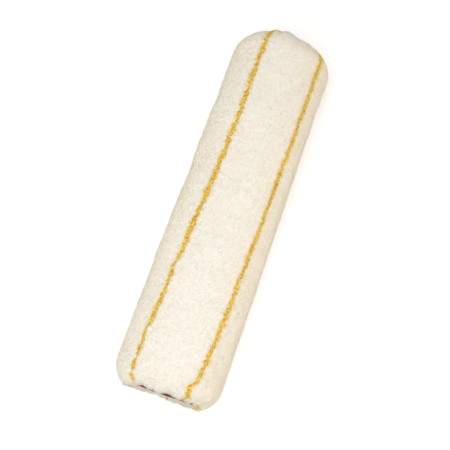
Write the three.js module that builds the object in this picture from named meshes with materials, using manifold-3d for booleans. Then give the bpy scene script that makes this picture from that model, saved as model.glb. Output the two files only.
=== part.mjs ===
// Paint roller sleeve (refill cover) for a 9 inch cage frame, lying on its side.
//
// The bore's axis is the Y axis and the origin is the middle of the bore. Lengths are in
// millimetres. Angles turn about the bore's axis, in degrees, from +Z (up) towards +X.

import * as THREE from "three";
import { mergeVertices } from "three/addons/utils/BufferGeometryUtils.js";
import Module from "manifold-3d";

// The core: a tube of resin-soaked board, wound from helical plies of one width.
const CORE_LENGTH = 228.6;
const BORE_RADIUS = 19.05;
const PLY_NAMES = ["core_inner_ply", "core_middle_ply", "core_outer_ply"];
const PLY_THICKNESS = 0.45;
const GLUE_LINE = 0.08;
const WINDING_PITCH = 63.5;
const WINDING_SEAM = 0.5;
const CORE_FACETS = 32;

// The fabric's glue and its backing cloth, whose two edges butt together along the seam.
const FABRIC_GLUE_THICKNESS = 0.2;
const FABRIC_GLUE_MARGIN = 0.8;
const BACKING_THICKNESS = 0.5;
const BACKING_CLEARANCE = 0.2;
const BACKING_STEPS = 32;
const BACKING_STATIONS = 9;
const SEAM_SLIT = 0.5;

// The zigzag thread that joins the backing's edges, in the bare strip beside the slit.
const THREAD_RADIUS = 0.175;
const THREAD_CLEARANCE = 0.1;
const STITCH_PITCH = 5;
const STITCH_SWING = 0.6;
const STITCH_STEPS = 4;
const THREAD_SIDES = 6;
const SEAM_BARE_ANGLE = 2.5;

// The nap: fibres that stand on the backing in white panels with gold stripes between them.
const NAP_RADIUS = 31.75;
const NAP_CLEARANCE = 0.2;
const NAP_OVERHANG = 2;
const NAP_LIP = 0.5;
const END_ROUND_LENGTH = 14.5;
const END_ROUND_DEPTH = 11.8;
const END_ROUND_STEPS = 5;
const NAP_BODY_STEPS = 10;
const REST_FLAT_DEPTH = 0.4;
const PANEL_GAP_ANGLE = 0.8;
const PANEL_STEP_ANGLE = 8.5;

// Each stripe's angle at mid-length. The seam is hidden in the panel under the sleeve.
const STRIPE_ANGLES = [-25.5, 47, 118, 190.5, 262.5];
const STRIPE_WIDTH = 3.1;
const STRIPE_STEPS = 2;
const SEAM_ANGLE = 226.75;

// The fabric went on slightly twisted: its turn at y = s * CORE_LENGTH / 2 is
// TWIST_SLOPE * s + TWIST_BEND * s * s.
const TWIST_SLOPE = 8.9;
const TWIST_BEND = -5;

// Radii of the layers, from the bore outwards.
const PLY_PITCH = PLY_THICKNESS + GLUE_LINE;
const GLUE_INNER_RADIUS = BORE_RADIUS + PLY_NAMES.length * PLY_PITCH;
const GLUE_OUTER_RADIUS = GLUE_INNER_RADIUS + FABRIC_GLUE_THICKNESS;
const BACKING_INNER_RADIUS = GLUE_OUTER_RADIUS + BACKING_CLEARANCE;
const BACKING_OUTER_RADIUS = BACKING_INNER_RADIUS + BACKING_THICKNESS;
const NAP_INNER_RADIUS = BACKING_OUTER_RADIUS + NAP_CLEARANCE;

const BOARD_BROWN = { color: 0x6e3226, roughness: 0.55, metalness: 0 };
const GLUE_AMBER = { color: 0xc9b58a, roughness: 0.35, metalness: 0 };
const CLOTH_CREAM = { color: 0xe6dcc6, roughness: 0.9, metalness: 0 };
const NAP_WHITE = { color: 0xf7f3e8, roughness: 0.95, metalness: 0 };
const NAP_GOLD = { color: 0xe0a828, roughness: 0.9, metalness: 0 };

const manifold = await Module();
manifold.setup();

/** The angle of an arc of the given length at the given radius. */
function arcAngle(length, radius) {
  return THREE.MathUtils.radToDeg(length / radius);
}

/** How far the fabric has turned about the core at height y along it. */
function fabricTurn(y) {
  const share = y / (CORE_LENGTH / 2);
  return TWIST_SLOPE * share + TWIST_BEND * share * share;
}

function onCylinder(radius, angle, y) {
  const turn = THREE.MathUtils.degToRad(angle);
  return new THREE.Vector3(radius * Math.sin(turn), y, radius * Math.cos(turn));
}

/**
 * A slab of cells, across x along and one cell thick, bent so that its corners lie where
 * place(i, isOuter, j) puts them: i counts turns of angle, j counts steps along +Y.
 */
function bentSlab(across, along, place) {
  const slab = new THREE.BoxGeometry(across, 1, along, across, 1, along);
  const position = slab.getAttribute("position");
  for (let k = 0; k < position.count; k += 1) {
    const i = Math.round(position.getX(k) + across / 2);
    const j = Math.round(along / 2 - position.getZ(k));
    const point = place(i, position.getY(k) > 0, j);
    position.setXYZ(k, point.x, point.y, point.z);
  }
  slab.computeVertexNormals();
  return slab;
}

/** The closed solid that a geometry bounds. */
function toSolid(geometry) {
  const bare = geometry.clone();
  bare.deleteAttribute("normal");
  bare.deleteAttribute("uv");
  const merged = mergeVertices(bare, 1e-5);
  const vertProperties = new Float32Array(merged.getAttribute("position").array);
  const triVerts = new Uint32Array(merged.getIndex().array);
  return new manifold.Manifold(new manifold.Mesh({ numProp: 3, vertProperties, triVerts }));
}

function toGeometry(solid) {
  const mesh = solid.getMesh();
  const geometry = new THREE.BufferGeometry();
  geometry.setAttribute("position", new THREE.BufferAttribute(mesh.vertProperties, 3));
  geometry.setIndex(new THREE.BufferAttribute(mesh.triVerts, 1));
  geometry.computeVertexNormals();
  return geometry;
}

/** Saws a winding square at both ends of the core. */
function sawnToLength(winding) {
  const width = 4 * BORE_RADIUS;
  const stock = new THREE.BoxGeometry(width, CORE_LENGTH, width);
  return toGeometry(toSolid(winding).intersect(toSolid(stock)));
}

/** One ply: a strip of board wound in a helix, each turn beside the last. */
function corePly(index) {
  const innerRadius = BORE_RADIUS + index * PLY_PITCH;
  const turns = Math.ceil(CORE_LENGTH / WINDING_PITCH) + 1;
  const stagger = (index + 0.5) / PLY_NAMES.length;
  const start = -CORE_LENGTH / 2 - WINDING_PITCH * stagger;
  const stripWidth = WINDING_PITCH - WINDING_SEAM;
  const winding = bentSlab(turns * CORE_FACETS, 1, (i, isOuter, j) => {
    const turned = i / CORE_FACETS - 1;
    const y = start + WINDING_PITCH * turned + stripWidth * j;
    const radius = isOuter ? innerRadius + PLY_THICKNESS : innerRadius;
    return onCylinder(radius, 360 * turned, y + WINDING_PITCH / 2);
  });
  return sawnToLength(winding);
}

/** The film of glue between the core and the backing cloth. */
function fabricGlue() {
  const half = CORE_LENGTH / 2 - FABRIC_GLUE_MARGIN;
  const section = [
    new THREE.Vector2(GLUE_INNER_RADIUS, -half),
    new THREE.Vector2(GLUE_OUTER_RADIUS, -half),
    new THREE.Vector2(GLUE_OUTER_RADIUS, half),
    new THREE.Vector2(GLUE_INNER_RADIUS, half),
    new THREE.Vector2(GLUE_INNER_RADIUS, -half),
  ];
  return new THREE.LatheGeometry(section, CORE_FACETS);
}

/** The backing cloth, wrapped once round the core from one side of the slit to the other. */
function backingCloth() {
  const slitAngle = arcAngle(SEAM_SLIT, BACKING_INNER_RADIUS);
  const wrapAngle = 360 - slitAngle;
  return bentSlab(BACKING_STEPS, BACKING_STATIONS, (i, isOuter, j) => {
    const y = CORE_LENGTH * (j / BACKING_STATIONS - 0.5);
    const angle = SEAM_ANGLE + slitAngle / 2 + (wrapAngle * i) / BACKING_STEPS;
    const radius = isOuter ? BACKING_OUTER_RADIUS : BACKING_INNER_RADIUS;
    return onCylinder(radius, angle + fabricTurn(y), y);
  });
}

/** The way a zigzag stitch takes from side to side over the slit. */
class StitchPath extends THREE.Curve {
  getPoint(share) {
    const radius = BACKING_OUTER_RADIUS + THREAD_CLEARANCE + THREAD_RADIUS;
    const y = (CORE_LENGTH - 2 * STITCH_PITCH) * (share - 0.5);
    const swing = STITCH_SWING * Math.sin((2 * Math.PI * y) / STITCH_PITCH);
    return onCylinder(radius, SEAM_ANGLE + fabricTurn(y) + arcAngle(swing, radius), y);
  }
}

function seamThread() {
  const section = new THREE.Shape();
  for (let side = 0; side < THREAD_SIDES; side += 1) {
    const turn = (2 * Math.PI * side) / THREAD_SIDES;
    const corner = [THREAD_RADIUS * Math.cos(turn), THREAD_RADIUS * Math.sin(turn)];
    if (side === 0) {
      section.moveTo(...corner);
    } else {
      section.lineTo(...corner);
    }
  }
  const stitches = Math.round(CORE_LENGTH / STITCH_PITCH) - 2;
  const path = new StitchPath();
  path.arcLengthDivisions = 20 * stitches;
  const steps = STITCH_STEPS * stitches;
  return new THREE.ExtrudeGeometry(section, { steps, bevelEnabled: false, extrudePath: path });
}

/** The nap's outline along the sleeve: straight in the middle and rounded at both ends. */
function napProfile() {
  const end = CORE_LENGTH / 2 + NAP_OVERHANG;
  const shoulder = end - END_ROUND_LENGTH;
  const lipDepth = NAP_RADIUS - NAP_INNER_RADIUS - NAP_LIP;
  const lastTurn = Math.acos(1 - lipDepth / END_ROUND_DEPTH);
  const profile = [];
  for (let k = END_ROUND_STEPS; k > 0; k -= 1) {
    profile.push(roundedPoint((lastTurn * k) / END_ROUND_STEPS, shoulder, -1));
  }
  for (let k = 0; k <= NAP_BODY_STEPS; k += 1) {
    profile.push({ y: shoulder * ((2 * k) / NAP_BODY_STEPS - 1), radius: NAP_RADIUS });
  }
  for (let k = 1; k <= END_ROUND_STEPS; k += 1) {
    profile.push(roundedPoint((lastTurn * k) / END_ROUND_STEPS, shoulder, 1));
  }
  return profile;
}

/** A point of the rounded end that is on the side of the sleeve that sign says. */
function roundedPoint(turn, shoulder, sign) {
  const y = sign * (shoulder + END_ROUND_LENGTH * Math.sin(turn));
  return { y, radius: NAP_RADIUS - END_ROUND_DEPTH * (1 - Math.cos(turn)) };
}

/** An edge of a band of nap that stands straight up from the backing. */
function uprightEdge(angle) {
  return { inner: angle, outer: angle };
}

/**
 * A lengthwise band of nap between two edges. The nap that the sleeve lies on is pressed
 * flat at its lowest part.
 */
function napBand(from, to, steps) {
  const profile = napProfile();
  const lowest = REST_FLAT_DEPTH - NAP_RADIUS;
  return bentSlab(steps, profile.length - 1, (i, isOuter, j) => {
    const { y, radius } = profile[j];
    const level = isOuter ? "outer" : "inner";
    const angle = THREE.MathUtils.lerp(from[level], to[level], i / steps);
    const point = onCylinder(isOuter ? radius : NAP_INNER_RADIUS, angle + fabricTurn(y), y);
    point.z = Math.max(point.z, lowest);
    return point;
  });
}

function goldStripe(angle) {
  const half = arcAngle(STRIPE_WIDTH, NAP_RADIUS) / 2;
  return napBand(uprightEdge(angle - half), uprightEdge(angle + half), STRIPE_STEPS);
}

/** The edges of the white panels, two for each panel: at a stripe or at the seam. */
function panelEdges() {
  const beside = arcAngle(STRIPE_WIDTH, NAP_RADIUS) / 2 + PANEL_GAP_ANGLE;
  const edges = [];
  STRIPE_ANGLES.forEach((angle, k) => {
    const next = STRIPE_ANGLES[k + 1] ?? STRIPE_ANGLES[0] + 360;
    edges.push(uprightEdge(angle + beside));
    if (angle < SEAM_ANGLE && SEAM_ANGLE < next) {
      edges.push(seamEdge(-1), seamEdge(1));
    }
    edges.push(uprightEdge(next - beside));
  });
  return edges;
}

/** A panel's edge at the seam: bare beside the stitches, with the nap leaning over them. */
function seamEdge(side) {
  return {
    inner: SEAM_ANGLE + side * SEAM_BARE_ANGLE,
    outer: SEAM_ANGLE + (side * PANEL_GAP_ANGLE) / 2,
  };
}

function whitePanels() {
  const edges = panelEdges();
  const panels = [];
  for (let k = 0; k < edges.length; k += 2) {
    const span = edges[k + 1].outer - edges[k].outer;
    panels.push(napBand(edges[k], edges[k + 1], Math.round(span / PANEL_STEP_ANGLE)));
  }
  return panels;
}

function addPiece(group, name, geometry, finish) {
  const piece = new THREE.Mesh(geometry, new THREE.MeshStandardMaterial(finish));
  piece.name = name;
  group.add(piece);
}

function buildCore() {
  const core = new THREE.Group();
  PLY_NAMES.forEach((name, index) => addPiece(core, name, corePly(index), BOARD_BROWN));
  return core;
}

function buildFabric() {
  const fabric = new THREE.Group();
  addPiece(fabric, "fabric_glue", fabricGlue(), GLUE_AMBER);
  addPiece(fabric, "backing_cloth", backingCloth(), CLOTH_CREAM);
  addPiece(fabric, "seam_thread", seamThread(), CLOTH_CREAM);
  whitePanels().forEach((panel, k) => addPiece(fabric, `nap_panel_${k + 1}`, panel, NAP_WHITE));
  STRIPE_ANGLES.forEach((angle, k) => {
    addPiece(fabric, `gold_stripe_${k + 1}`, goldStripe(angle), NAP_GOLD);
  });
  return fabric;
}

const sleeve = new THREE.Group();
sleeve.add(buildCore(), buildFabric());

export default sleeve;
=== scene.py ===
"""A paint roller sleeve: plush nap with gold stripes on a wound board core.

Everything is in metres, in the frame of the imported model. The bore's axis is Y, and angles
turn about it in degrees, from +Z (up) towards +X. The fabric's own angle leaves out the
slight twist that it went on with.
"""

import math
import bpy
import numpy as np
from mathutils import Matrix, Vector


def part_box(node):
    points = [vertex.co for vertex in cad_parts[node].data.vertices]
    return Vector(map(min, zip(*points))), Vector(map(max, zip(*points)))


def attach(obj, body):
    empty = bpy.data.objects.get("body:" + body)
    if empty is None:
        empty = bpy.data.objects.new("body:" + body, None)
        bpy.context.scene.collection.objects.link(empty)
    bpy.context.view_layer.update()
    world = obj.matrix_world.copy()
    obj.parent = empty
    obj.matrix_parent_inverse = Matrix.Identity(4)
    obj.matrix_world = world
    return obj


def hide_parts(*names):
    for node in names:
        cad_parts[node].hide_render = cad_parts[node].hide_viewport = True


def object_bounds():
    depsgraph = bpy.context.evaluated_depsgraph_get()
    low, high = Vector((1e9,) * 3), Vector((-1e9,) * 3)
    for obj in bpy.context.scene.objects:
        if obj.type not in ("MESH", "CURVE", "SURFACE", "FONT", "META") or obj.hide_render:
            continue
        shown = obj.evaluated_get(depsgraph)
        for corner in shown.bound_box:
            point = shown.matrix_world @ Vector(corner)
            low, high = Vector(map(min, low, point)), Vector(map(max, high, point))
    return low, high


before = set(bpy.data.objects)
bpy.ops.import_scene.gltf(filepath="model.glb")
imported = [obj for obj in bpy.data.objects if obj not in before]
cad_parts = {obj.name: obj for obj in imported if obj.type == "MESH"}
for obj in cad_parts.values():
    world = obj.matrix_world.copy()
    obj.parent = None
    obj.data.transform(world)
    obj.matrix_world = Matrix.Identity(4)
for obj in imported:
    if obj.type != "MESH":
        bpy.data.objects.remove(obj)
cad_low, cad_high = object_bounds()

MM = 0.001

# The camera looks down at the sleeve from its near right, with the sleeve a little off the
# middle. Azimuth 0 looks along +Y.
VIEW_AZIMUTH = 19.07
VIEW_ELEVATION = 73.7
CAMERA_DISTANCE = 448.4 * MM
CAMERA_RIGHT = -1.84 * MM
CAMERA_UP = -7.78 * MM
LENS_MM = 58.8

# The nap's outline, a quarter of an ellipse at each end, and the unevenness of its surface.
END_ROUND_LENGTH = 14.5 * MM
END_ROUND_DEPTH = 11.8 * MM
LIP_HEIGHT = 0.5 * MM
PROFILE_POINTS = 40
RIPPLE_HEIGHT = 0.15 * MM
LUMP_HEIGHT = 0.08 * MM

# The bed is the nap's dense lower part, so far below the fibre tips. It stands on a foot just
# off the backing, and two beds keep a small gap between them.
WHITE_BED_DEPTH = 0.65 * MM
GOLD_BED_DEPTH = 0.4 * MM
BED_ROUGHNESS = 0.12 * MM
BED_FOOT = 0.15 * MM
BED_LEAST = 0.2 * MM
BED_CELL = 0.8 * MM
BED_GAP = 0.01 * MM
PRESSED_CLEARANCE = 0.05 * MM

# A fibre's width and length, and the least and most share of them that one may have. Each is
# bent at its shoulder, which lies at this share of its length, by this share of its length.
FIBRE_WIDTH, WIDTH_SHARES = 0.25 * MM, (0.75, 1.25)
FIBRE_LENGTH, LENGTH_SHARES = 2.4 * MM, (0.85, 1.15)
FIBRE_LEAST_LENGTH = 0.4 * MM
FIBRE_ROOT_CLEARANCE = 0.35 * MM
FIBRE_LEAST_RISE = 0.12
SHOULDER_AT, SHOULDER_WIDTH = 0.7, 0.85
FIBRE_BEND = 0.06

# Fibres stand in small tufts. Part of each one's lean and height is its tuft's, the rest its
# own, and a few stand proud. At the ends they lean with most of the outline's slope.
WHITE_PER_MM2 = 3.4
GOLD_PER_MM2 = 4.6
TUFT_ACROSS = 1.15 * MM
TUFT_ALONG = 1.35 * MM
TUFT_HEIGHT = 0.07 * MM
OWN_HEIGHT = 0.15 * MM
WHITE_LEAN = 0.38
TUFT_LEAN_SHARE, OWN_LEAN_SHARE = 0.35, 0.9
PROUD_SHARE = 0.01
PROUD_FROM, PROUD_TO = 0.2 * MM, 0.8 * MM
SLOPE_SHARE = 0.85
EDGE_BLUR = 0.38 * MM

# Gold fibres lie aslant, so far sideways for one along as (mean, spread). Their strokes go to
# both sides and sink a little with their length, and a few are longer and show as barbs.
GOLD_TUFT_HEIGHT = 0.12 * MM
GOLD_ROOT_DEPTH = 1.3 * MM
GOLD_SLANT = (1.2, 0.5)
GOLD_STROKE = 0.5 * MM
GOLD_HEIGHT_SHARE, GOLD_SINK_SHARE, GOLD_SINK = 1.1, 0.06, 0.02 * MM
BARB_SHARE = 0.12
BARB_STROKE = 2.4

# Loose fibres frame each end of the core. They point outwards along the axis, and lean away
# from it and aside as (mean, spread). The height of their roots and their length lie between
# two values, in millimetres. The near end has none where the lock lies, about this angle and
# so many degrees to each side of it.
FRINGE_PER_MM = 7
FRINGE_INSET = 0.01 * MM
FRINGE_SPREAD, FRINGE_ASIDE = (0.1, 0.4), (0, 0.3)
FRINGE_ROOT_DEPTH = 1.4 * MM
FRINGE_ROOT_RISE = (0.0, 1.2)
FRINGE_LENGTH = (1.2, 2.1)
FRINGE_GAP = (80, 16)

# Stray ends of gold yarn stand in the white beside each stripe: how many for each millimetre of
# stripe, and how far from the stripe's edges. A stripe that is nearly gone has none.
STRAYS_PER_MM = 17.0
STRAY_REACH = 0.95 * MM
STRAY_LEAST_HALF = 0.45 * MM

# A lock of the third stripe lies across the near end. Its strands go from root to tip in angle,
# place along Y and height over the backing, each as (mean, spread), in degrees or millimetres.
LOCK_STRANDS = 46
LOCK_ENDS = [
    ((77, 0.5), (66, 0.7)),
    ((-115.7, 0.1), (-114.6, 0.08)),
    ((2.7, 0.2), (-0.7, 0.15)),
]

# The nap reaches past the outline at the near end, but for a bare place on top, between these
# angles, where it stops at the core's end. The place's two edges fade over so many degrees. At
# the far end the nap stops a little short of the outline. All in millimetres but the angles.
BARE_FROM, BARE_TO = -43, 95
BARE_FROM_FADE, BARE_TO_FADE = 10, 4
BARE_DEPTH = 2.65
NEAR_OVERHANG = 1.3
FAR_SHORTFALL = 1.0
NEAR_FRAY, FAR_FRAY = 0.22, 0.3

# Where the ends of the nap lie further in or out than that, as (angle, reach in degrees,
# shift along +Y in millimetres).
NEAR_END_SHIFTS = [
    (-102, 24, 0.3), (-37, 4, -1.1), (-26.5, 4.5, 1.0), (-16, 5, -0.85), (-1, 8.5, -1.3),
    (9, 4, 0.55), (19, 7, -0.12), (28.5, 3, -0.95), (34.5, 3.5, -0.45), (44, 6, -0.85),
    (53.5, 3.5, 0.7), (61, 3, -0.8), (75, 8, 1.4), (94, 6, -0.6), (195, 26, 0.9),
]
FAR_END_SHIFTS = [(-4, 13, 2.0)]

# Where handling has pressed the nap in or teased it out, as (angle, place along Y, reach in
# degrees, reach along Y, rise), in millimetres but the angles.
PRESSED_PLACES = [
    (-78, 67, 20, 5, -0.55), (-78, 19, 20, 6, -0.6), (-78, 6, 20, 12, -0.35),
    (-78, 36, 20, 8, 0.3), (-78, -30, 20, 22, 0.35), (85, 60, 30, 45, -0.35),
    (80, 108, 26, 6, 0.6), (92, -109, 30, 6, 0.6),
]

# Where each stripe bends, as (place along Y, shift, reach), and where it is thin, as
# (place along Y, reach, share of its width that is left), all in millimetres but the share.
STRIPE_BENDS = [
    [
        (0, 0.6, 500), (40, 0.6, 26), (12, 0.5, 14), (-46, -1.2, 5), (-87, -1.4, 4.5),
        (-105, 0.9, 7), (88, -0.5, 22),
    ],
    [(0, 0.2, 500), (-72, 0.75, 17), (-107.5, -2.6, 3.4), (-114.3, 1.7, 1.6), (24, -0.5, 16)],
    [],
    [],
    [],
]
STRIPE_THIN = [
    [
        (-46, 3.5, 0.5), (-86, 3.5, 0.4), (-101.5, 1.5, 0.2), (-109.5, 1.6, 0.15),
        (-115.5, 2.5, 0.0),
    ],
    [(4, 12, 0.75), (-114.6, 1.2, 0.3)],
    [(-116, 5, 0.0)],
    [(-116, 3, 0.2)],
    [(-115, 4, 0.0)],
]

# A stripe is a line of tufts. Each has a length and a half width between these limits, and an
# offset and a slant of this (mean, spread), all in millimetres.
STRIPE_TUFTS = 330
STRIPE_TUFT_LENGTH = (0.5, 1.5)
STRIPE_TUFT_HALF = (0.65, 1.6)
STRIPE_TUFT_OFFSET = (0, 0.3)
STRIPE_TUFT_SLANT = (-0.8, 0.4)

# The first seed of each row of bands or stripes.
BED_SEED, FIBRE_SEED, STRIPE_SEED, STRAY_SEED = 100, 200, 300, 400

# The core's winding, the cloth's joint and wales, the glue's bead at each end, and how far
# from straight their cut edges are.
PLY_NODES = ("core_inner_ply", "core_middle_ply", "core_outer_ply")
WINDING_PITCH = 63.5 * MM
WINDING_SEAM = 0.5 * MM
CORE_FACETS = 96
SAW_MARKS = 0.06 * MM
BOARD_UNEVENNESS = 0.02 * MM
SEAM_ANGLE = 226.75
KNIT_WALE = 1.4 * MM
WALE_HEIGHT = 0.03 * MM
CLOTH_EDGE_FRAY = 0.12 * MM
GLUE_BEAD = 0.1 * MM
GLUE_BEAD_REACH = 0.9 * MM
GLUE_NEAR_FRAY, GLUE_FAR_FRAY = 0.35 * MM, 0.3 * MM

# How deep the CAD model's outer corners of a band lie at most, which tells them from the rest.
CAD_SURFACE_DEPTH = 0.45 * MM

# Each yarn's two shades, the tint of its soft patches, how fine its specks are, and where the
# ramp between the shades begins and ends.
WHITE_YARN = {
    "light": (0.9, 0.873, 0.765), "dark": (0.81, 0.775, 0.655), "tint": (0.985, 0.975, 0.95),
    "fineness": 1250, "ramp": (0.32, 0.6),
}
GOLD_YARN = {
    "light": (0.98, 0.69, 0.08), "dark": (0.6, 0.34, 0.018), "tint": (0.9, 0.84, 0.76),
    "fineness": 850, "ramp": (0.4, 0.58),
}
STRAY_YARN = {
    "light": (0.98, 0.84, 0.27), "dark": (0.95, 0.76, 0.2), "tint": (1, 0.99, 0.95),
    "fineness": 1250, "ramp": (0.32, 0.6),
}

# The studio: the floor's half side in metres, and each light's name, place, what it points at,
# diameter, power in watts and colour.
FLOOR_REACH = 6.0
FLOOR_COLOUR = (0.93, 0.94, 0.96, 1)
FLOOR_GLOW, FLOOR_GLOW_STRENGTH = (1, 0.95, 0.95, 1), 0.175
WORLD_COLOUR, WORLD_STRENGTH = (1, 0.93, 0.7, 1), 0.585
LIGHTS = [
    ("key", (0.01, -0.09, 0.62), (0, -0.05, 0), 0.42, 1.35, (1, 1.05, 1.4)),
    ("near_key", (0.01, -0.32, 0.55), (0, -0.08, 0), 0.42, 1.02, (0.86, 0.93, 1.15)),
    ("left_card", (-0.36, -0.05, 0.13), (-0.02, 0, 0), 0.3, 0.26, (1, 0.84, 0.74)),
    ("low_card", (0.03, -0.32, 0), (0.01, -0.116, -0.01), 0.1, 0.055, (1, 0.95, 0.87)),
    ("right_card", (0.42, -0.05, 0.12), (0.03, 0, 0), 0.3, 0.4, (1, 0.7, 0.49)),
]

# ---------------------------------------------------------------- the frame's own sizes

def node_points(node):
    """The corners of a CAD node as x, y, z rows."""
    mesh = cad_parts[node].data
    points = np.zeros(len(mesh.vertices) * 3)
    mesh.vertices.foreach_get("co", points)
    return points.reshape(-1, 3)


def polar(points):
    """Each point's angle in degrees, height along the axis and radius."""
    angle = np.degrees(np.arctan2(points[:, 0], points[:, 2]))
    return angle, points[:, 1], np.hypot(points[:, 0], points[:, 2])


def on_cylinder(angle, y, radius):
    """The points at these angles, heights along the axis and radii."""
    turn = np.radians(angle)
    return np.stack([radius * np.sin(turn), y + 0 * turn, radius * np.cos(turn)], axis=-1)


def fabric_twist():
    """The fabric's turn along the sleeve, as polynomial terms, from one stripe's edge."""
    angle, y, _ = polar(node_points("gold_stripe_1"))
    heights = np.unique(np.round(y, 5))
    edge = [angle[np.abs(y - h) < 1e-5].min() for h in heights]
    terms = np.polyfit(heights, edge, 2)
    terms[2] = 0
    return terms


CORE_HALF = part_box("core_inner_ply")[1].y
BACKING_RADIUS = polar(node_points("backing_cloth"))[2].max()
NAP_RADIUS = cad_high.x
NAP_HALF = cad_high.y
FLOOR_Z = cad_low.z
TWIST = fabric_twist()


def fabric_turn(y):
    """How far the fabric has turned, in degrees, at a height along the axis."""
    return np.polyval(TWIST, y)


def band_angles(node):
    """The fabric angles at which a band of nap begins and ends, at its outer surface."""
    angle, y, radius = polar(node_points(node))
    outer = radius > NAP_RADIUS - CAD_SURFACE_DEPTH
    fabric = angle[outer] - fabric_turn(y[outer])
    first = fabric[0]
    around = (fabric - first + 180) % 360 - 180
    return first + around.min(), first + around.max()


# ---------------------------------------------------------------- smooth noise

class Waves:
    """A smooth random field: a sum of waves about one wavelength long, of unit spread."""

    COUNT = 24

    def __init__(self, seed, wavelength):
        rng = np.random.default_rng(seed)
        heading = rng.uniform(0, 2 * np.pi, self.COUNT)
        size = 2 * np.pi / (wavelength * rng.uniform(0.7, 1.4, self.COUNT))
        self.across = size * np.cos(heading)
        self.along = size * np.sin(heading)
        self.phase = rng.uniform(0, 2 * np.pi, self.COUNT)
        self.scale = math.sqrt(2 / self.COUNT)

    def __call__(self, across, along):
        total = 0
        for a, b, phase in zip(self.across, self.along, self.phase):
            total = total + np.cos(a * across + b * along + phase)
        return total * self.scale


# ---------------------------------------------------------------- mesh making

def mark_sharp_edges(piece):
    """Keeps the edges that turn by more than 50 degrees crisp under smooth shading."""
    mesh = piece.data
    normals = np.zeros(len(mesh.polygons) * 3)
    mesh.polygons.foreach_get("normal", normals)
    normals = normals.reshape(-1, 3)
    loops = np.zeros(len(mesh.loops), np.int32)
    mesh.loops.foreach_get("edge_index", loops)
    sizes = np.zeros(len(mesh.polygons), np.int32)
    mesh.polygons.foreach_get("loop_total", sizes)
    owner = np.repeat(np.arange(len(sizes)), sizes)
    order = np.argsort(loops, kind="stable")
    pairs = owner[order].reshape(-1, 2)
    turned = (normals[pairs[:, 0]] * normals[pairs[:, 1]]).sum(1) < math.cos(math.radians(50))
    sharp = mesh.attributes.new("sharp_edge", "BOOLEAN", "EDGE")
    sharp.data.foreach_set("value", turned)


def make_piece(name, points, faces, material):
    """A mesh object from points and faces, which are arrays of triangles or quads."""
    mesh = bpy.data.meshes.new(name)
    mesh.vertices.add(len(points))
    mesh.vertices.foreach_set("co", np.asarray(points, np.float32).ravel())
    corners = np.concatenate([f.ravel() for f in faces]).astype(np.int32)
    counts = np.concatenate([np.full(len(f), f.shape[1], np.int32) for f in faces])
    starts = np.concatenate([[0], np.cumsum(counts)[:-1]]).astype(np.int32)
    mesh.loops.add(len(corners))
    mesh.loops.foreach_set("vertex_index", corners)
    mesh.polygons.add(len(counts))
    mesh.polygons.foreach_set("loop_start", starts)
    mesh.polygons.foreach_set("loop_total", counts)
    mesh.polygons.foreach_set("use_smooth", np.full(len(counts), True))
    mesh.update(calc_edges=True)
    mesh.validate()
    mesh.materials.append(material)
    piece = bpy.data.objects.new(name, mesh)
    bpy.context.scene.collection.objects.link(piece)
    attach(piece, "root")
    return piece


def slab_faces(across, along, closed=False):
    """The faces of a bent slab whose points are numbered [layer][i][j], inner layer first.

    A closed slab is a ring: its last column joins its first.
    """
    columns = across if closed else across + 1

    def index(layer, i, j):
        return (layer * columns + i % columns) * (along + 1) + j

    i, j = [g.ravel() for g in np.meshgrid(np.arange(across), np.arange(along), indexing="ij")]
    inner = [index(0, i, j), index(0, i + 1, j), index(0, i + 1, j + 1), index(0, i, j + 1)]
    outer = [index(1, i, j), index(1, i, j + 1), index(1, i + 1, j + 1), index(1, i + 1, j)]
    faces = [inner, outer]
    j = np.arange(along)
    for at, order in () if closed else ((0, 1), (across, -1)):
        side = [index(0, at, j), index(0, at, j + 1), index(1, at, j + 1), index(1, at, j)]
        faces.append(side[::order])
    i = np.arange(across)
    for at, order in ((0, -1), (along, 1)):
        side = [index(0, i, at), index(0, i + 1, at), index(1, i + 1, at), index(1, i, at)]
        faces.append(side[::order])
    return np.concatenate([np.stack(f, axis=1) for f in faces])


# ---------------------------------------------------------------- the nap's outline

def nap_outline():
    """The outline's height, radius and slope, from the near lip to the far lip.

    The slope is how far, in radians, the surface's normal leans towards the far end.
    """
    lip = BACKING_RADIUS + LIP_HEIGHT
    last = math.acos(1 - (NAP_RADIUS - lip) / END_ROUND_DEPTH)
    turn = np.linspace(0, last, PROFILE_POINTS)
    shoulder = NAP_HALF - END_ROUND_LENGTH
    y = shoulder + END_ROUND_LENGTH * np.sin(turn)
    radius = NAP_RADIUS - END_ROUND_DEPTH * (1 - np.cos(turn))
    slope = np.arctan2(END_ROUND_DEPTH * np.sin(turn), END_ROUND_LENGTH * np.cos(turn))
    return (
        np.concatenate([-y[::-1], y]),
        np.concatenate([radius[::-1], radius]),
        np.concatenate([-slope[::-1], slope]),
    )


OUTLINE_Y, OUTLINE_RADIUS, OUTLINE_SLOPE = nap_outline()
OUTLINE_RUN = np.concatenate(
    [[0], np.cumsum(np.hypot(np.diff(OUTLINE_Y), np.diff(OUTLINE_RADIUS)))]
)
OUTLINE_LENGTH = OUTLINE_RUN[-1]

RIPPLE = Waves(seed=11, wavelength=22 * MM)
LUMPS = Waves(seed=12, wavelength=6 * MM)
END_FRAY = Waves(seed=13, wavelength=7 * MM)
CUT_WANDER = Waves(seed=14, wavelength=5 * MM)
SWELL = Waves(seed=15, wavelength=16 * MM)


def bump(angle, at, reach):
    """1 at an angle, fading to nothing beyond its reach."""
    away = (angle - at + 180) % 360 - 180
    return np.exp(-((away / reach) ** 2))


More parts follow.
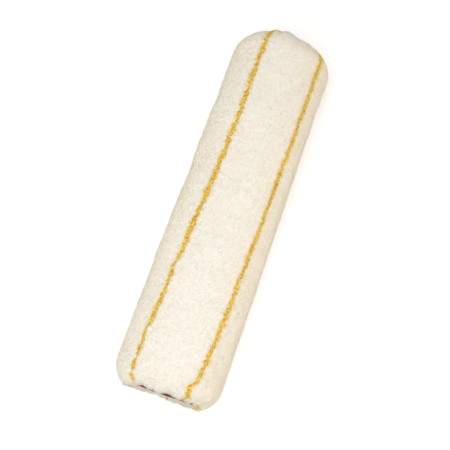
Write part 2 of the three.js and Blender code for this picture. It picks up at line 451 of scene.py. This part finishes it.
def nap_surface(fabric_angle, run):
    """Where the fibre tips lie, at a distance along the outline.

    Gives their positions, the surface's normals and the outline's slope there.
    """
    y = np.interp(run, OUTLINE_RUN, OUTLINE_Y)
    radius = np.interp(run, OUTLINE_RUN, OUTLINE_RADIUS)
    slope = np.interp(run, OUTLINE_RUN, OUTLINE_SLOPE)
    angle = fabric_angle + fabric_turn(y)
    arc = np.radians(fabric_angle) * NAP_RADIUS
    relief = RIPPLE_HEIGHT * RIPPLE(arc, y) + LUMP_HEIGHT * LUMPS(arc, y)
    for at_angle, at_y, reach_angle, reach_y, rise in PRESSED_PLACES:
        fade = np.exp(-(((y / MM - at_y) / reach_y) ** 2))
        relief = relief + rise * MM * fade * bump(angle, at_angle, reach_angle)
    radius = radius + np.cos(slope) * relief
    y = y + end_shift(angle, arc, y)
    radial = on_cylinder(angle, 0, 1.0)
    normal = np.cos(slope)[..., None] * radial
    normal[..., 1] += np.sin(slope)
    return on_cylinder(angle, y, radius), normal, slope


def bare_on_top(angle):
    """1 where the nap on top stops at the core's near end, fading to 0 round the rest."""
    away = (angle + 180) % 360 - 180
    from_edge = 1 / (1 + np.exp((BARE_FROM - away) / BARE_FROM_FADE))
    to_edge = 1 / (1 + np.exp((away - BARE_TO) / BARE_TO_FADE))
    return from_edge * to_edge


def end_shift(angle, arc, y):
    """How far along +Y the nap's ends lie from the outline."""
    nearness = np.clip((np.abs(y) - NAP_HALF + END_ROUND_LENGTH) / END_ROUND_LENGTH, 0, 1) ** 2
    near = BARE_DEPTH * bare_on_top(angle) - NEAR_OVERHANG
    for at, reach, shift in NEAR_END_SHIFTS:
        near = near + shift * bump(angle, at, reach)
    far = 0.0 * angle - FAR_SHORTFALL
    for at, reach, shift in FAR_END_SHIFTS:
        far = far + shift * bump(angle, at, reach)
    fray = np.where(y < 0, NEAR_FRAY, FAR_FRAY) * END_FRAY(arc, 0 * y)
    return nearness * MM * (np.where(y < 0, near, far) + fray)


def press_on_floor(points):
    """Lays what would be under the floor flat on it."""
    points[..., 2] = np.maximum(points[..., 2], FLOOR_Z + PRESSED_CLEARANCE)
    return points


# ---------------------------------------------------------------- stripes and panels

class Stripe:
    """Where a gold stripe's edges lie: a line of tufts, no two set and slanted alike."""

    def __init__(self, node, seed, bends, thin):
        rng = np.random.default_rng(seed)
        first, last = band_angles(node)
        self.node = node
        self.middle = (first + last) / 2
        self.bends = np.array(bends).reshape(-1, 3) * MM
        self.thin = thin
        lengths = rng.uniform(*STRIPE_TUFT_LENGTH, STRIPE_TUFTS) * MM
        self.starts = np.concatenate([[0], np.cumsum(lengths)])
        self.lengths = np.append(lengths, TUFT_ALONG)
        count = len(self.starts)
        self.offset = rng.normal(*STRIPE_TUFT_OFFSET, count) * MM
        self.half = rng.uniform(*STRIPE_TUFT_HALF, count) * MM
        self.slant = rng.normal(*STRIPE_TUFT_SLANT, count) * MM

    def edges(self, run):
        """Both edges' fabric angles at distances along the outline."""
        tuft = np.searchsorted(self.starts, run, side="right") - 1
        within = (run - self.starts[tuft]) / self.lengths[tuft] - 0.5
        y = np.interp(run, OUTLINE_RUN, OUTLINE_Y)
        middle = self.offset[tuft] + self.slant[tuft] * within
        for at, shift, reach in self.bends:
            middle = middle + shift * np.exp(-(((y - at) / reach) ** 2))
        half = self.half[tuft]
        for at, reach, share in self.thin:
            half = half * (1 - (1 - share) * np.exp(-(((y / MM - at) / reach) ** 2)))
        return (
            self.middle + np.degrees((middle - half) / NAP_RADIUS),
            self.middle + np.degrees((middle + half) / NAP_RADIUS),
        )

    def left(self, run):
        return self.edges(run)[0]

    def right(self, run):
        return self.edges(run)[1]


class Band:
    """A node's strip of nap, between two edges that are functions of the run.

    The bed of a strip beside the seam stops short of it, by so much on its left and right,
    and only the fibres close over the seam.
    """

    def __init__(self, node, left, right, gold):
        self.node, self.left, self.right, self.gold = node, left, right, gold
        self.short_left = self.short_right = 0
        run = np.linspace(0, OUTLINE_LENGTH, 400)
        self.lowest = left(run).min()
        self.highest = right(run).max()

    def holds(self, angle, run, blur=0.0):
        """Whether fibres at these places belong to the band, whose edges blur is added to."""
        return (angle + blur > self.left(run)) & (angle + blur < self.right(run))


def unwrapped(angle, after):
    """The same angle, turned by whole turns to be the first one after another."""
    return after + (angle - after) % 360


def nap_bands():
    """Every band of nap, in order round the sleeve from the first stripe."""
    stripes = []
    for k, (bends, thin) in enumerate(zip(STRIPE_BENDS, STRIPE_THIN)):
        stripe = Stripe(f"gold_stripe_{k + 1}", STRIPE_SEED + k, bends, thin)
        if stripes:
            stripe.middle = unwrapped(stripe.middle, stripes[-1].middle)
        stripes.append(stripe)
    seam_left = unwrapped(band_angles("nap_panel_4")[1], stripes[3].middle)
    seam_right = unwrapped(band_angles("nap_panel_5")[0], stripes[3].middle)
    edges = [(s.right, t.left) for s, t in zip(stripes, stripes[1:])]
    seam, short = (seam_left + seam_right) / 2, (seam_right - seam_left) / 2
    before_seam = (stripes[3].right, lambda run: seam + 0 * run)
    after_seam = (lambda run: seam + 0 * run, stripes[4].left)
    closing = (stripes[4].right, lambda run: stripes[0].left(run) + 360)
    panels = edges[:3] + [before_seam, after_seam, closing]
    bands = [Band(f"nap_panel_{k + 1}", *e, False) for k, e in enumerate(panels)]
    bands[3].short_right = short
    bands[4].short_left = short
    return bands + [Band(s.node, s.left, s.right, True) for s in stripes]


# ---------------------------------------------------------------- nap

def nap_bed(band, material, seed):
    """The dense lower part of a band of nap, which the fibres stand out of."""
    width = math.radians(band.highest - band.lowest) * NAP_RADIUS
    across = max(3, round(width / BED_CELL))
    along = round(OUTLINE_LENGTH / BED_CELL)
    share = np.linspace(0, 1, across + 1)[:, None]
    run = np.linspace(0, OUTLINE_LENGTH, along + 1)[None, :] + 0 * share
    gap = math.degrees(BED_GAP / NAP_RADIUS)
    left = band.left(run) + gap + band.short_left
    right = band.right(run) - gap - band.short_right
    tips, normal, _ = nap_surface(left + (right - left) * share, run)
    rng = np.random.default_rng(seed)
    depth = GOLD_BED_DEPTH if band.gold else WHITE_BED_DEPTH
    depth = depth + rng.normal(0, BED_ROUGHNESS, run.shape)
    outer = tips - normal * depth[..., None]
    angle, y, radius = polar(outer.reshape(-1, 3))
    foot = BACKING_RADIUS + BED_FOOT
    outer = on_cylinder(angle, y, np.maximum(radius, foot + BED_LEAST)).reshape(outer.shape)
    inner = on_cylinder(angle, y, foot).reshape(outer.shape)
    points = press_on_floor(np.stack([inner, outer]).reshape(-1, 3))
    piece = make_piece(f"{band.node}_bed", points, [slab_faces(across, along)], material)
    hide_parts(band.node)
    return piece


def tuft_values(rng, across, along):
    """One random number for each tuft, in rows of tufts set like bricks."""
    row = np.floor(along / TUFT_ALONG).astype(int)
    column = np.floor(across / TUFT_ACROSS + 0.5 * (row % 2)).astype(int)
    column -= column.min()
    row -= row.min()
    table = rng.normal(0, 1, (row.max() + 1, column.max() + 1))
    return table[row, column]


def unit(vectors):
    """The vectors made one long."""
    return vectors / np.maximum(np.linalg.norm(vectors, axis=-1, keepdims=True), 1e-9)


def fibre_mesh(root, tip, width, bend):
    """Three-sided fibres from root to tip, each bent at its shoulder and closed at its root."""
    line = unit(tip - root)
    side = unit(np.cross(line, np.where(np.abs(line[:, 1:2]) < 0.8, [[0, 1, 0]], [[1, 0, 0]])))
    other = np.cross(line, side)
    points = np.zeros((len(root), 7, 3))
    shoulder = root + SHOULDER_AT * (tip - root) + bend
    for k in range(3):
        turn = 2 * math.pi * k / 3
        out = (side * math.cos(turn) + other * math.sin(turn)) * width[:, None] / 2
        points[:, k] = root + out
        points[:, 3 + k] = shoulder + SHOULDER_WIDTH * out
    points[:, 6] = tip
    quads = np.array([[0, 1, 4, 3], [1, 2, 5, 4], [2, 0, 3, 5]])
    triangles = np.array([[3, 4, 6], [4, 5, 6], [5, 3, 6], [2, 1, 0]])
    offset = 7 * np.arange(len(root))[:, None, None]
    return points.reshape(-1, 3), [
        (quads[None] + offset).reshape(-1, 4),
        (triangles[None] + offset).reshape(-1, 3),
    ]


def spread_evenly(rng, band, per_mm2):
    """Fabric angles and runs spread over a band, one in each cell of a fine grid."""
    width = math.radians(band.highest - band.lowest) * NAP_RADIUS
    cell = MM / math.sqrt(per_mm2)
    across, along = max(2, round(width / cell)), round(OUTLINE_LENGTH / cell)
    i, j = [g.ravel() for g in np.meshgrid(np.arange(across), np.arange(along), indexing="ij")]
    angle = band.lowest + (band.highest - band.lowest) * (i + rng.uniform(0, 1, len(i))) / across
    run = OUTLINE_LENGTH * (j + rng.uniform(0, 1, len(j))) / along
    blur = np.degrees(rng.normal(0, EDGE_BLUR, len(angle)) / NAP_RADIUS)
    kept = band.holds(angle, run, blur)
    return angle[kept], run[kept]


def gold_fibres(rng, tip, normal, direction, towards_first, nearward, height):
    """Roots and tips of fibres that lie aslant to both sides, a few of them as barbs."""
    count = len(tip)
    slant = unit(nearward - towards_first * rng.normal(*GOLD_SLANT, count)[:, None])
    stroke = rng.normal(0, GOLD_STROKE, count)
    stroke = stroke * np.where(rng.uniform(0, 1, count) < BARB_SHARE, BARB_STROKE, 1)
    rise = GOLD_HEIGHT_SHARE * height - GOLD_SINK_SHARE * np.abs(stroke) - GOLD_SINK
    root = tip - direction * GOLD_ROOT_DEPTH
    return root, tip + slant * stroke[:, None] + normal * rise[:, None]


def white_fibres(rng, tip, direction, outward):
    """Roots and tips of fibres along a direction, whose roots stay clear of the backing."""
    count = len(tip)
    radius = np.hypot(tip[:, 0], tip[:, 2])
    rise = np.maximum((direction * outward).sum(1), FIBRE_LEAST_RISE)
    deepest = (radius - BACKING_RADIUS - FIBRE_ROOT_CLEARANCE) / rise
    deepest = np.maximum(deepest, FIBRE_LEAST_LENGTH)
    length = np.minimum(FIBRE_LENGTH * rng.uniform(*LENGTH_SHARES, count), deepest)
    return tip - direction * length[:, None], tip


def standing_fibres(rng, angle, run, gold):
    """Roots and tips of fibres at these places: each leans with its tuft and on its own."""
    arc = np.radians(angle) * NAP_RADIUS
    count = len(angle)
    tuft_height, tuft_across, tuft_along = (tuft_values(rng, arc, run) for _ in range(3))
    lean_across, lean_along = (
        WHITE_LEAN * (TUFT_LEAN_SHARE * tuft + OWN_LEAN_SHARE * rng.normal(0, 1, count))
        for tuft in (tuft_across, tuft_along)
    )
    tip, normal, slope = nap_surface(angle, run)
    height = TUFT_HEIGHT * tuft_height + rng.normal(0, OWN_HEIGHT, count)
    proud = rng.uniform(0, 1, count) < PROUD_SHARE
    height = height + proud * rng.uniform(PROUD_FROM, PROUD_TO, count)
    towards_first = unit(np.cross(normal, [0.0, 1.0, 0.0]))
    outward = np.cross([0.0, 1.0, 0.0], towards_first)
    lie = SLOPE_SHARE * slope
    direction = np.cos(lie)[:, None] * outward
    direction[:, 1] += np.sin(lie)
    nearward = np.cross(direction, towards_first)
    if gold:
        height = height + GOLD_TUFT_HEIGHT * tuft_height
        return gold_fibres(rng, tip, normal, direction, towards_first, nearward, height)
    direction = unit(
        direction + lean_across[:, None] * towards_first + lean_along[:, None] * nearward
    )
    return white_fibres(rng, tip + normal * height[:, None], direction, outward)


def fringe_fibres(rng, band, end):
    """Roots and tips of the loose fibres that frame one end of the core."""
    width = math.radians(band.highest - band.lowest) * BACKING_RADIUS
    count = max(4, round(width / MM * FRINGE_PER_MM))
    angle = rng.uniform(band.lowest, band.highest, count)
    run = np.full(count, FRINGE_INSET if end < 0 else OUTLINE_LENGTH - FRINGE_INSET)
    kept = band.holds(angle, run)
    if end < 0:
        at, reach = FRINGE_GAP
        turned = angle + fabric_turn(-NAP_HALF)
        kept &= np.abs((turned - at + 180) % 360 - 180) > reach
    angle, run = angle[kept], run[kept]
    count = len(angle)
    lip, _, _ = nap_surface(angle, run)
    radial = on_cylinder(angle + fabric_turn(lip[:, 1]), 0, 1.0)
    axial = np.array([[0.0, float(end), 0.0]])
    spread = rng.normal(*FRINGE_SPREAD, count)[:, None] * radial
    aside = rng.normal(*FRINGE_ASIDE, count)[:, None] * np.cross(radial, axial)
    direction = unit(axial + spread + aside)
    rise = rng.uniform(*FRINGE_ROOT_RISE, count) * MM
    root = lip + radial * rise[:, None] - axial * FRINGE_ROOT_DEPTH
    length = rng.uniform(*FRINGE_LENGTH, count) * MM
    return root, root + direction * length[:, None]


def swept_lock(rng):
    """Roots and tips of the lock of gold yarn that is swept along the near end."""
    angle, y, height = (
        np.stack([rng.normal(*root, LOCK_STRANDS), rng.normal(*tip, LOCK_STRANDS)])
        for root, tip in LOCK_ENDS
    )
    root, tip = on_cylinder(angle, y * MM, BACKING_RADIUS + height * MM)
    return root, tip


def places_beside(rng, stripe):
    """Fabric angles and runs of the stray ends on both sides of a stripe."""
    count = round(OUTLINE_LENGTH / MM * STRAYS_PER_MM)
    run = rng.uniform(0, OUTLINE_LENGTH, count)
    left, right = stripe.left(run), stripe.right(run)
    half = np.radians(right - left) / 2 * NAP_RADIUS
    kept = half > STRAY_LEAST_HALF
    run, left, right = run[kept], left[kept], right[kept]
    beyond = np.degrees(np.abs(rng.normal(0, STRAY_REACH, len(run))) / NAP_RADIUS)
    return np.where(rng.uniform(0, 1, len(run)) < 0.5, left - beyond, right + beyond), run


def fibre_piece(name, parts, rng, material):
    """One piece made of fibres, whose roots and tips are given in parts."""
    root, tip = (np.concatenate(rows) for rows in zip(*parts))
    count = len(root)
    length = np.linalg.norm(tip - root, axis=1)
    bend = rng.normal(0, 1, (count, 3)) * (FIBRE_BEND * length)[:, None]
    width = FIBRE_WIDTH * rng.uniform(*WIDTH_SHARES, count)
    points, faces = fibre_mesh(root, tip, width, bend)
    return make_piece(name, press_on_floor(points), faces, material)


def nap_fibres(band, material, seed):
    """The fibre tips of a band of nap, as one piece."""
    rng = np.random.default_rng(seed)
    angle, run = spread_evenly(rng, band, GOLD_PER_MM2 if band.gold else WHITE_PER_MM2)
    parts = [standing_fibres(rng, angle, run, band.gold)]
    parts += [fringe_fibres(rng, band, end) for end in (-1, 1)]
    parts += [swept_lock(rng)] if band.node == "gold_stripe_3" else []
    return fibre_piece(f"{band.node}_fibres", parts, rng, material)


def stray_ends(stripe, material, seed):
    """The stray ends beside a stripe, as one piece."""
    rng = np.random.default_rng(seed)
    parts = [standing_fibres(rng, *places_beside(rng, stripe), False)]
    return fibre_piece(f"{stripe.node}_strays", parts, rng, material)


# ---------------------------------------------------------------- materials

def new_material(name):
    """A material, its nodes and its shader."""
    material = bpy.data.materials.new(name)
    material.use_nodes = True
    return material, material.node_tree, material.node_tree.nodes["Principled BSDF"]


def add_node(tree, kind, settings=(), **inputs):
    """A new node, with its inputs linked or set. An underscore in a name stands for a space."""
    node = tree.nodes.new(kind)
    for key, value in dict(settings).items():
        setattr(node, key, value)
    for key, value in inputs.items():
        socket = node.inputs[key.replace("_", " ")]
        if isinstance(value, bpy.types.NodeSocket):
            tree.links.new(value, socket)
        else:
            socket.default_value = value
    return node


def place(tree, scale=(1, 1, 1)):
    """The place on the piece, in metres, which turns and moves with it."""
    coordinates = tree.nodes.new("ShaderNodeTexCoord")
    here = coordinates.outputs["Object"]
    return add_node(tree, "ShaderNodeMapping", Vector=here, Scale=scale).outputs[0]


def noise(tree, vector, scale, detail, roughness):
    """Soft noise whose features are about 1 / scale metres across."""
    node = add_node(tree, "ShaderNodeTexNoise", Vector=vector, Scale=scale, Detail=detail)
    node.inputs["Roughness"].default_value = roughness
    return node.outputs["Fac"]


def between(tree, factor, low, high, start=0.35, end=0.65):
    """A colour ramp from low to high."""
    ramp = add_node(tree, "ShaderNodeValToRGB", Fac=factor)
    ramp.color_ramp.elements[0].position = start
    ramp.color_ramp.elements[0].color = (*low, 1)
    ramp.color_ramp.elements[1].position = end
    ramp.color_ramp.elements[1].color = (*high, 1)
    return ramp.outputs["Color"]


def multiplied(tree, first, second):
    """One colour times another."""
    node = add_node(tree, "ShaderNodeMix", {"data_type": "RGBA", "blend_type": "MULTIPLY"})
    sockets = {s.identifier: s for s in node.inputs}
    sockets["Factor_Float"].default_value = 1.0
    tree.links.new(first, sockets["A_Color"])
    tree.links.new(second, sockets["B_Color"])
    return next(s for s in node.outputs if s.identifier == "Result_Color")


def set_colour(tree, shader, colour, plain):
    """Links the shader's colour. The plain one stands for it where nodes aren't read."""
    tree.links.new(colour, shader.inputs["Base Color"])
    shader.inputs["Base Color"].default_value = (*plain, 1)


def add_bump(tree, shader, height, distance, strength):
    """Raises the surface by the height's texture, over a distance in metres."""
    node = add_node(tree, "ShaderNodeBump", Height=height, Distance=distance, Strength=strength)
    tree.links.new(node.outputs[0], shader.inputs["Normal"])


def yarn_material(name, bumpy, light, dark, tint, fineness, ramp):
    """Cut yarn: two close shades in fine specks, with a faint tint in wide soft patches."""
    material, tree, shader = new_material(name)
    here = place(tree)
    specks = between(tree, noise(tree, here, fineness, 3, 0.6), dark, light, *ramp)
    patches = between(tree, noise(tree, here, 38, 3, 0.5), tint, (1, 1, 1), 0.25, 0.7)
    set_colour(tree, shader, multiplied(tree, specks, patches), light)
    shader.inputs["Roughness"].default_value = 0.92
    shader.inputs["Specular IOR Level"].default_value = 0.25
    shader.inputs["Sheen Weight"].default_value = 0.12
    shader.inputs["Sheen Roughness"].default_value = 0.55
    if bumpy:
        add_bump(tree, shader, noise(tree, here, 1400, 4, 0.7), 0.0004, 0.8)
    return material


def board_material():
    """Kraft board soaked in dark red-brown resin."""
    material, tree, shader = new_material("phenolic_board")
    here = place(tree)
    grain = noise(tree, place(tree, (1, 0.12, 1)), 900, 4, 0.65)
    colour = between(tree, grain, (0.2, 0.019, 0.009), (0.34, 0.045, 0.02), 0.3, 0.7)
    soaked = noise(tree, here, 55, 3, 0.55)
    blotches = between(tree, soaked, (0.62, 0.6, 0.6), (1, 1, 1), 0.3, 0.65)
    set_colour(tree, shader, multiplied(tree, colour, blotches), (0.24, 0.03, 0.014))
    shader.inputs["Specular IOR Level"].default_value = 0.3
    rough = add_node(tree, "ShaderNodeMapRange", Value=grain)
    rough.inputs["To Min"].default_value = 0.58
    rough.inputs["To Max"].default_value = 0.8
    tree.links.new(rough.outputs[0], shader.inputs["Roughness"])
    add_bump(tree, shader, grain, 0.0001, 0.5)
    return material


def glue_material():
    """Hot-melt glue: amber, smooth, with soft ripples."""
    material, tree, shader = new_material("hot_melt")
    here = place(tree)
    ripples = noise(tree, here, 260, 2, 0.4)
    colour = between(tree, ripples, (0.5, 0.36, 0.17), (0.68, 0.54, 0.3))
    set_colour(tree, shader, colour, (0.6, 0.45, 0.24))
    shader.inputs["Roughness"].default_value = 0.32
    add_bump(tree, shader, ripples, 0.0003, 0.5)
    return material


def cloth_material():
    """Close knit ground cloth: rows of small loops."""
    material, tree, shader = new_material("ground_knit")
    here = place(tree)
    loops = add_node(tree, "ShaderNodeTexVoronoi", Vector=here, Scale=1500.0).outputs["Distance"]
    colour = between(tree, loops, (0.78, 0.7, 0.55), (0.58, 0.48, 0.33), 0.1, 0.8)
    set_colour(tree, shader, colour, (0.72, 0.63, 0.48))
    shader.inputs["Roughness"].default_value = 0.9
    add_bump(tree, shader, loops, 0.0002, 0.7)
    return material


def thread_material():
    """Sewing thread: two plies whose twist shows as slanting ridges, with painted shade in the
    grooves between them.
    """
    material, tree, shader = new_material("sewing_thread")
    here = place(tree)
    slanting = {"bands_direction": "DIAGONAL"}
    twist = add_node(tree, "ShaderNodeTexWave", slanting, Vector=here, Scale=2200.0)
    # Painted shade: the colour follows the ridges, darker in the grooves between the plies.
    colour = between(tree, twist.outputs["Fac"], (0.6, 0.52, 0.38), (0.86, 0.8, 0.66))
    set_colour(tree, shader, colour, (0.8, 0.72, 0.58))
    shader.inputs["Roughness"].default_value = 0.7
    add_bump(tree, shader, twist.outputs["Fac"], 0.0001, 0.6)
    return material


# ---------------------------------------------------------------- core, glue and cloth

def wound_ply(node, index, material):
    """One strip of board, wound in a helix and sawn to length."""
    _, _, radius = polar(node_points(node))
    inner, outer = radius.min(), radius.max()
    start = WINDING_PITCH * (0.5 - (index + 0.5) / 3) - CORE_HALF
    turned = np.arange(-CORE_FACETS, CORE_FACETS * 5) / CORE_FACETS
    edge = start + WINDING_PITCH * turned
    saw = SAW_MARKS * CUT_WANDER(np.radians(360 * turned) * inner, 0)
    low = np.maximum(edge, -CORE_HALF + saw)
    high = np.minimum(edge + WINDING_PITCH - WINDING_SEAM, CORE_HALF + saw)
    kept = high - low > 0.1 * MM
    turned, low, high = turned[kept], low[kept], high[kept]
    across, along = len(turned) - 1, 40
    rows = low[:, None] + (high - low)[:, None] * np.linspace(0, 1, along + 1)
    around = 360 * turned[:, None] + 0 * rows
    swell = BOARD_UNEVENNESS * SWELL(np.radians(around) * inner, rows)
    points = [on_cylinder(around, rows, inner + swell), on_cylinder(around, rows, outer + swell)]
    points = np.stack(points).reshape(-1, 3)
    piece = make_piece(f"{node}_board", points, [slab_faces(across, along)], material)
    mark_sharp_edges(piece)
    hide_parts(node)
    return piece


def glue_film(material):
    """The glue under the cloth, thicker and ragged where it is squeezed out at the ends."""
    _, y, radius = polar(node_points("fabric_glue"))
    across, along = 144, 120
    around = np.linspace(0, 360, across + 1)[:-1, None]
    share = np.linspace(-1, 1, along + 1)[None, :]
    run = np.sign(share) * (1 - (1 - np.abs(share)) ** 2)
    arc = np.radians(around) * radius.max()
    fray = np.where(share < 0, GLUE_NEAR_FRAY, GLUE_FAR_FRAY) * CUT_WANDER(4 * arc, share)
    reach = y.max() + fray
    rows = run * reach
    bead = GLUE_BEAD * np.exp(-(((reach - np.abs(rows)) / GLUE_BEAD_REACH) ** 2))
    swell = bead * (1 + 0.5 * SWELL(arc, rows))
    layers = [
        on_cylinder(around + 0 * rows, rows, radius.min() - 0.3 * swell),
        on_cylinder(around + 0 * rows, rows, radius.max() + swell),
    ]
    points = np.stack(layers).reshape(-1, 3)
    piece = make_piece("fabric_glue_film", points, [slab_faces(across, along, True)], material)
    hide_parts("fabric_glue")
    return piece


def knit_cloth(material):
    """The backing cloth, wrapped once round the core with its two cut edges side by side.

    Gives the piece and the cloth's flat width and length, measured at half its thickness.
    """
    angle, y, radius = polar(node_points("backing_cloth"))
    fabric = (angle - fabric_turn(y) - SEAM_ANGLE) % 360
    across, along = 300, 160
    around = np.linspace(fabric.min(), fabric.max(), across + 1)[:, None]
    share = np.linspace(-1, 1, along + 1)[None, :]
    arc = np.radians(around) * radius.max()
    cut = CLOTH_EDGE_FRAY * (CUT_WANDER(2 * arc, share) - 1)
    rows = share * y.max() + np.sign(share) * np.abs(share) ** 8 * cut
    turned = SEAM_ANGLE + around + fabric_turn(rows)
    ribs = WALE_HEIGHT * np.sin(2 * math.pi * arc / KNIT_WALE)
    layers = [
        on_cylinder(turned, rows, radius.min() + WALE_HEIGHT + ribs),
        on_cylinder(turned, rows, radius.max() - WALE_HEIGHT + ribs),
    ]
    points = np.stack(layers).reshape(-1, 3)
    piece = make_piece("backing_cloth_knit", points, [slab_faces(across, along)], material)
    mark_sharp_edges(piece)
    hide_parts("backing_cloth")
    width = math.radians(fabric.max() - fabric.min()) * (radius.min() + radius.max()) / 2
    return piece, (width, 2 * y.max())


# ---------------------------------------------------------------- building the sleeve

def build_nap():
    """The bed and the fibres of every band, and the strays of every gold one."""
    white_bed = yarn_material("white_nap_bed", True, **WHITE_YARN)
    white_fibre = yarn_material("white_nap_fibre", False, **WHITE_YARN)
    gold_bed = yarn_material("gold_nap_bed", True, **GOLD_YARN)
    gold_fibre = yarn_material("gold_nap_fibre", False, **GOLD_YARN)
    stray_fibre = yarn_material("gold_nap_stray", False, **STRAY_YARN)
    for k, band in enumerate(nap_bands()):
        bed = nap_bed(band, gold_bed if band.gold else white_bed, BED_SEED + k)
        tips = nap_fibres(band, gold_fibre if band.gold else white_fibre, FIBRE_SEED + k)
        strays = [stray_ends(band, stray_fibre, STRAY_SEED + k)] if band.gold else []


def build_inside():
    """The plies, the glue, the cloth and the thread, from the core outwards."""
    board = board_material()
    plies = [wound_ply(node, k, board) for k, node in enumerate(PLY_NODES)]
    glue = glue_film(glue_material())
    cloth, flat = knit_cloth(cloth_material())
    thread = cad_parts["seam_thread"]
    thread.data.materials.clear()
    thread.data.materials.append(thread_material())


build_nap()
build_inside()


# ---------------------------------------------------------------- stage, light and camera

def build_floor():
    """A pale floor with a faint glow of its own, under the sleeve."""
    material, _, shader = new_material("studio_floor")
    shader.inputs["Base Color"].default_value = FLOOR_COLOUR
    shader.inputs["Roughness"].default_value = 0.9
    shader.inputs["Emission Color"].default_value = FLOOR_GLOW
    shader.inputs["Emission Strength"].default_value = FLOOR_GLOW_STRENGTH
    corners = ((-1, -1), (1, -1), (1, 1), (-1, 1))
    points = [(FLOOR_REACH * x, FLOOR_REACH * y, FLOOR_Z) for x, y in corners]
    mesh = bpy.data.meshes.new("floor")
    mesh.from_pydata(points, [], [(0, 1, 2, 3)])
    mesh.materials.append(material)
    floor = bpy.data.objects.new("floor", mesh)
    bpy.context.scene.collection.objects.link(floor)


def add_area_light(name, location, target, diameter, power, colour):
    """A round soft light that points at a target."""
    light = bpy.data.lights.new(name, "AREA")
    light.shape = "DISK"
    light.size = diameter
    light.energy = power
    light.color = colour
    lamp = bpy.data.objects.new(name, light)
    lamp.location = location
    lamp.rotation_mode = "QUATERNION"
    lamp.rotation_quaternion = (Vector(target) - Vector(location)).to_track_quat("-Z", "Y")
    bpy.context.scene.collection.objects.link(lamp)


def build_lights():
    """The world's even light, and the lights in the list."""
    world = bpy.data.worlds.new("studio")
    world.use_nodes = True
    background = world.node_tree.nodes["Background"]
    background.inputs["Color"].default_value = WORLD_COLOUR
    background.inputs["Strength"].default_value = WORLD_STRENGTH
    bpy.context.scene.world = world
    for light in LIGHTS:
        add_area_light(*light)


def build_camera():
    """The camera looks at the middle of the sleeve from its azimuth and elevation, then shifts."""
    azimuth, elevation = math.radians(VIEW_AZIMUTH), math.radians(VIEW_ELEVATION)
    back = Vector((
        math.sin(azimuth) * math.cos(elevation),
        -math.cos(azimuth) * math.cos(elevation),
        math.sin(elevation),
    ))
    right = Vector((math.cos(azimuth), math.sin(azimuth), 0))
    up = back.cross(right)
    data = bpy.data.cameras.new("camera")
    data.lens = LENS_MM
    camera = bpy.data.objects.new("camera", data)
    camera.location = back * CAMERA_DISTANCE + right * CAMERA_RIGHT + up * CAMERA_UP
    camera.rotation_mode = "QUATERNION"
    camera.rotation_quaternion = (-back).to_track_quat("-Z", "Y")
    bpy.context.scene.collection.objects.link(camera)
    bpy.context.scene.camera = camera


build_floor()
build_lights()
build_camera()
bpy.context.scene.view_settings.view_transform = "Standard"
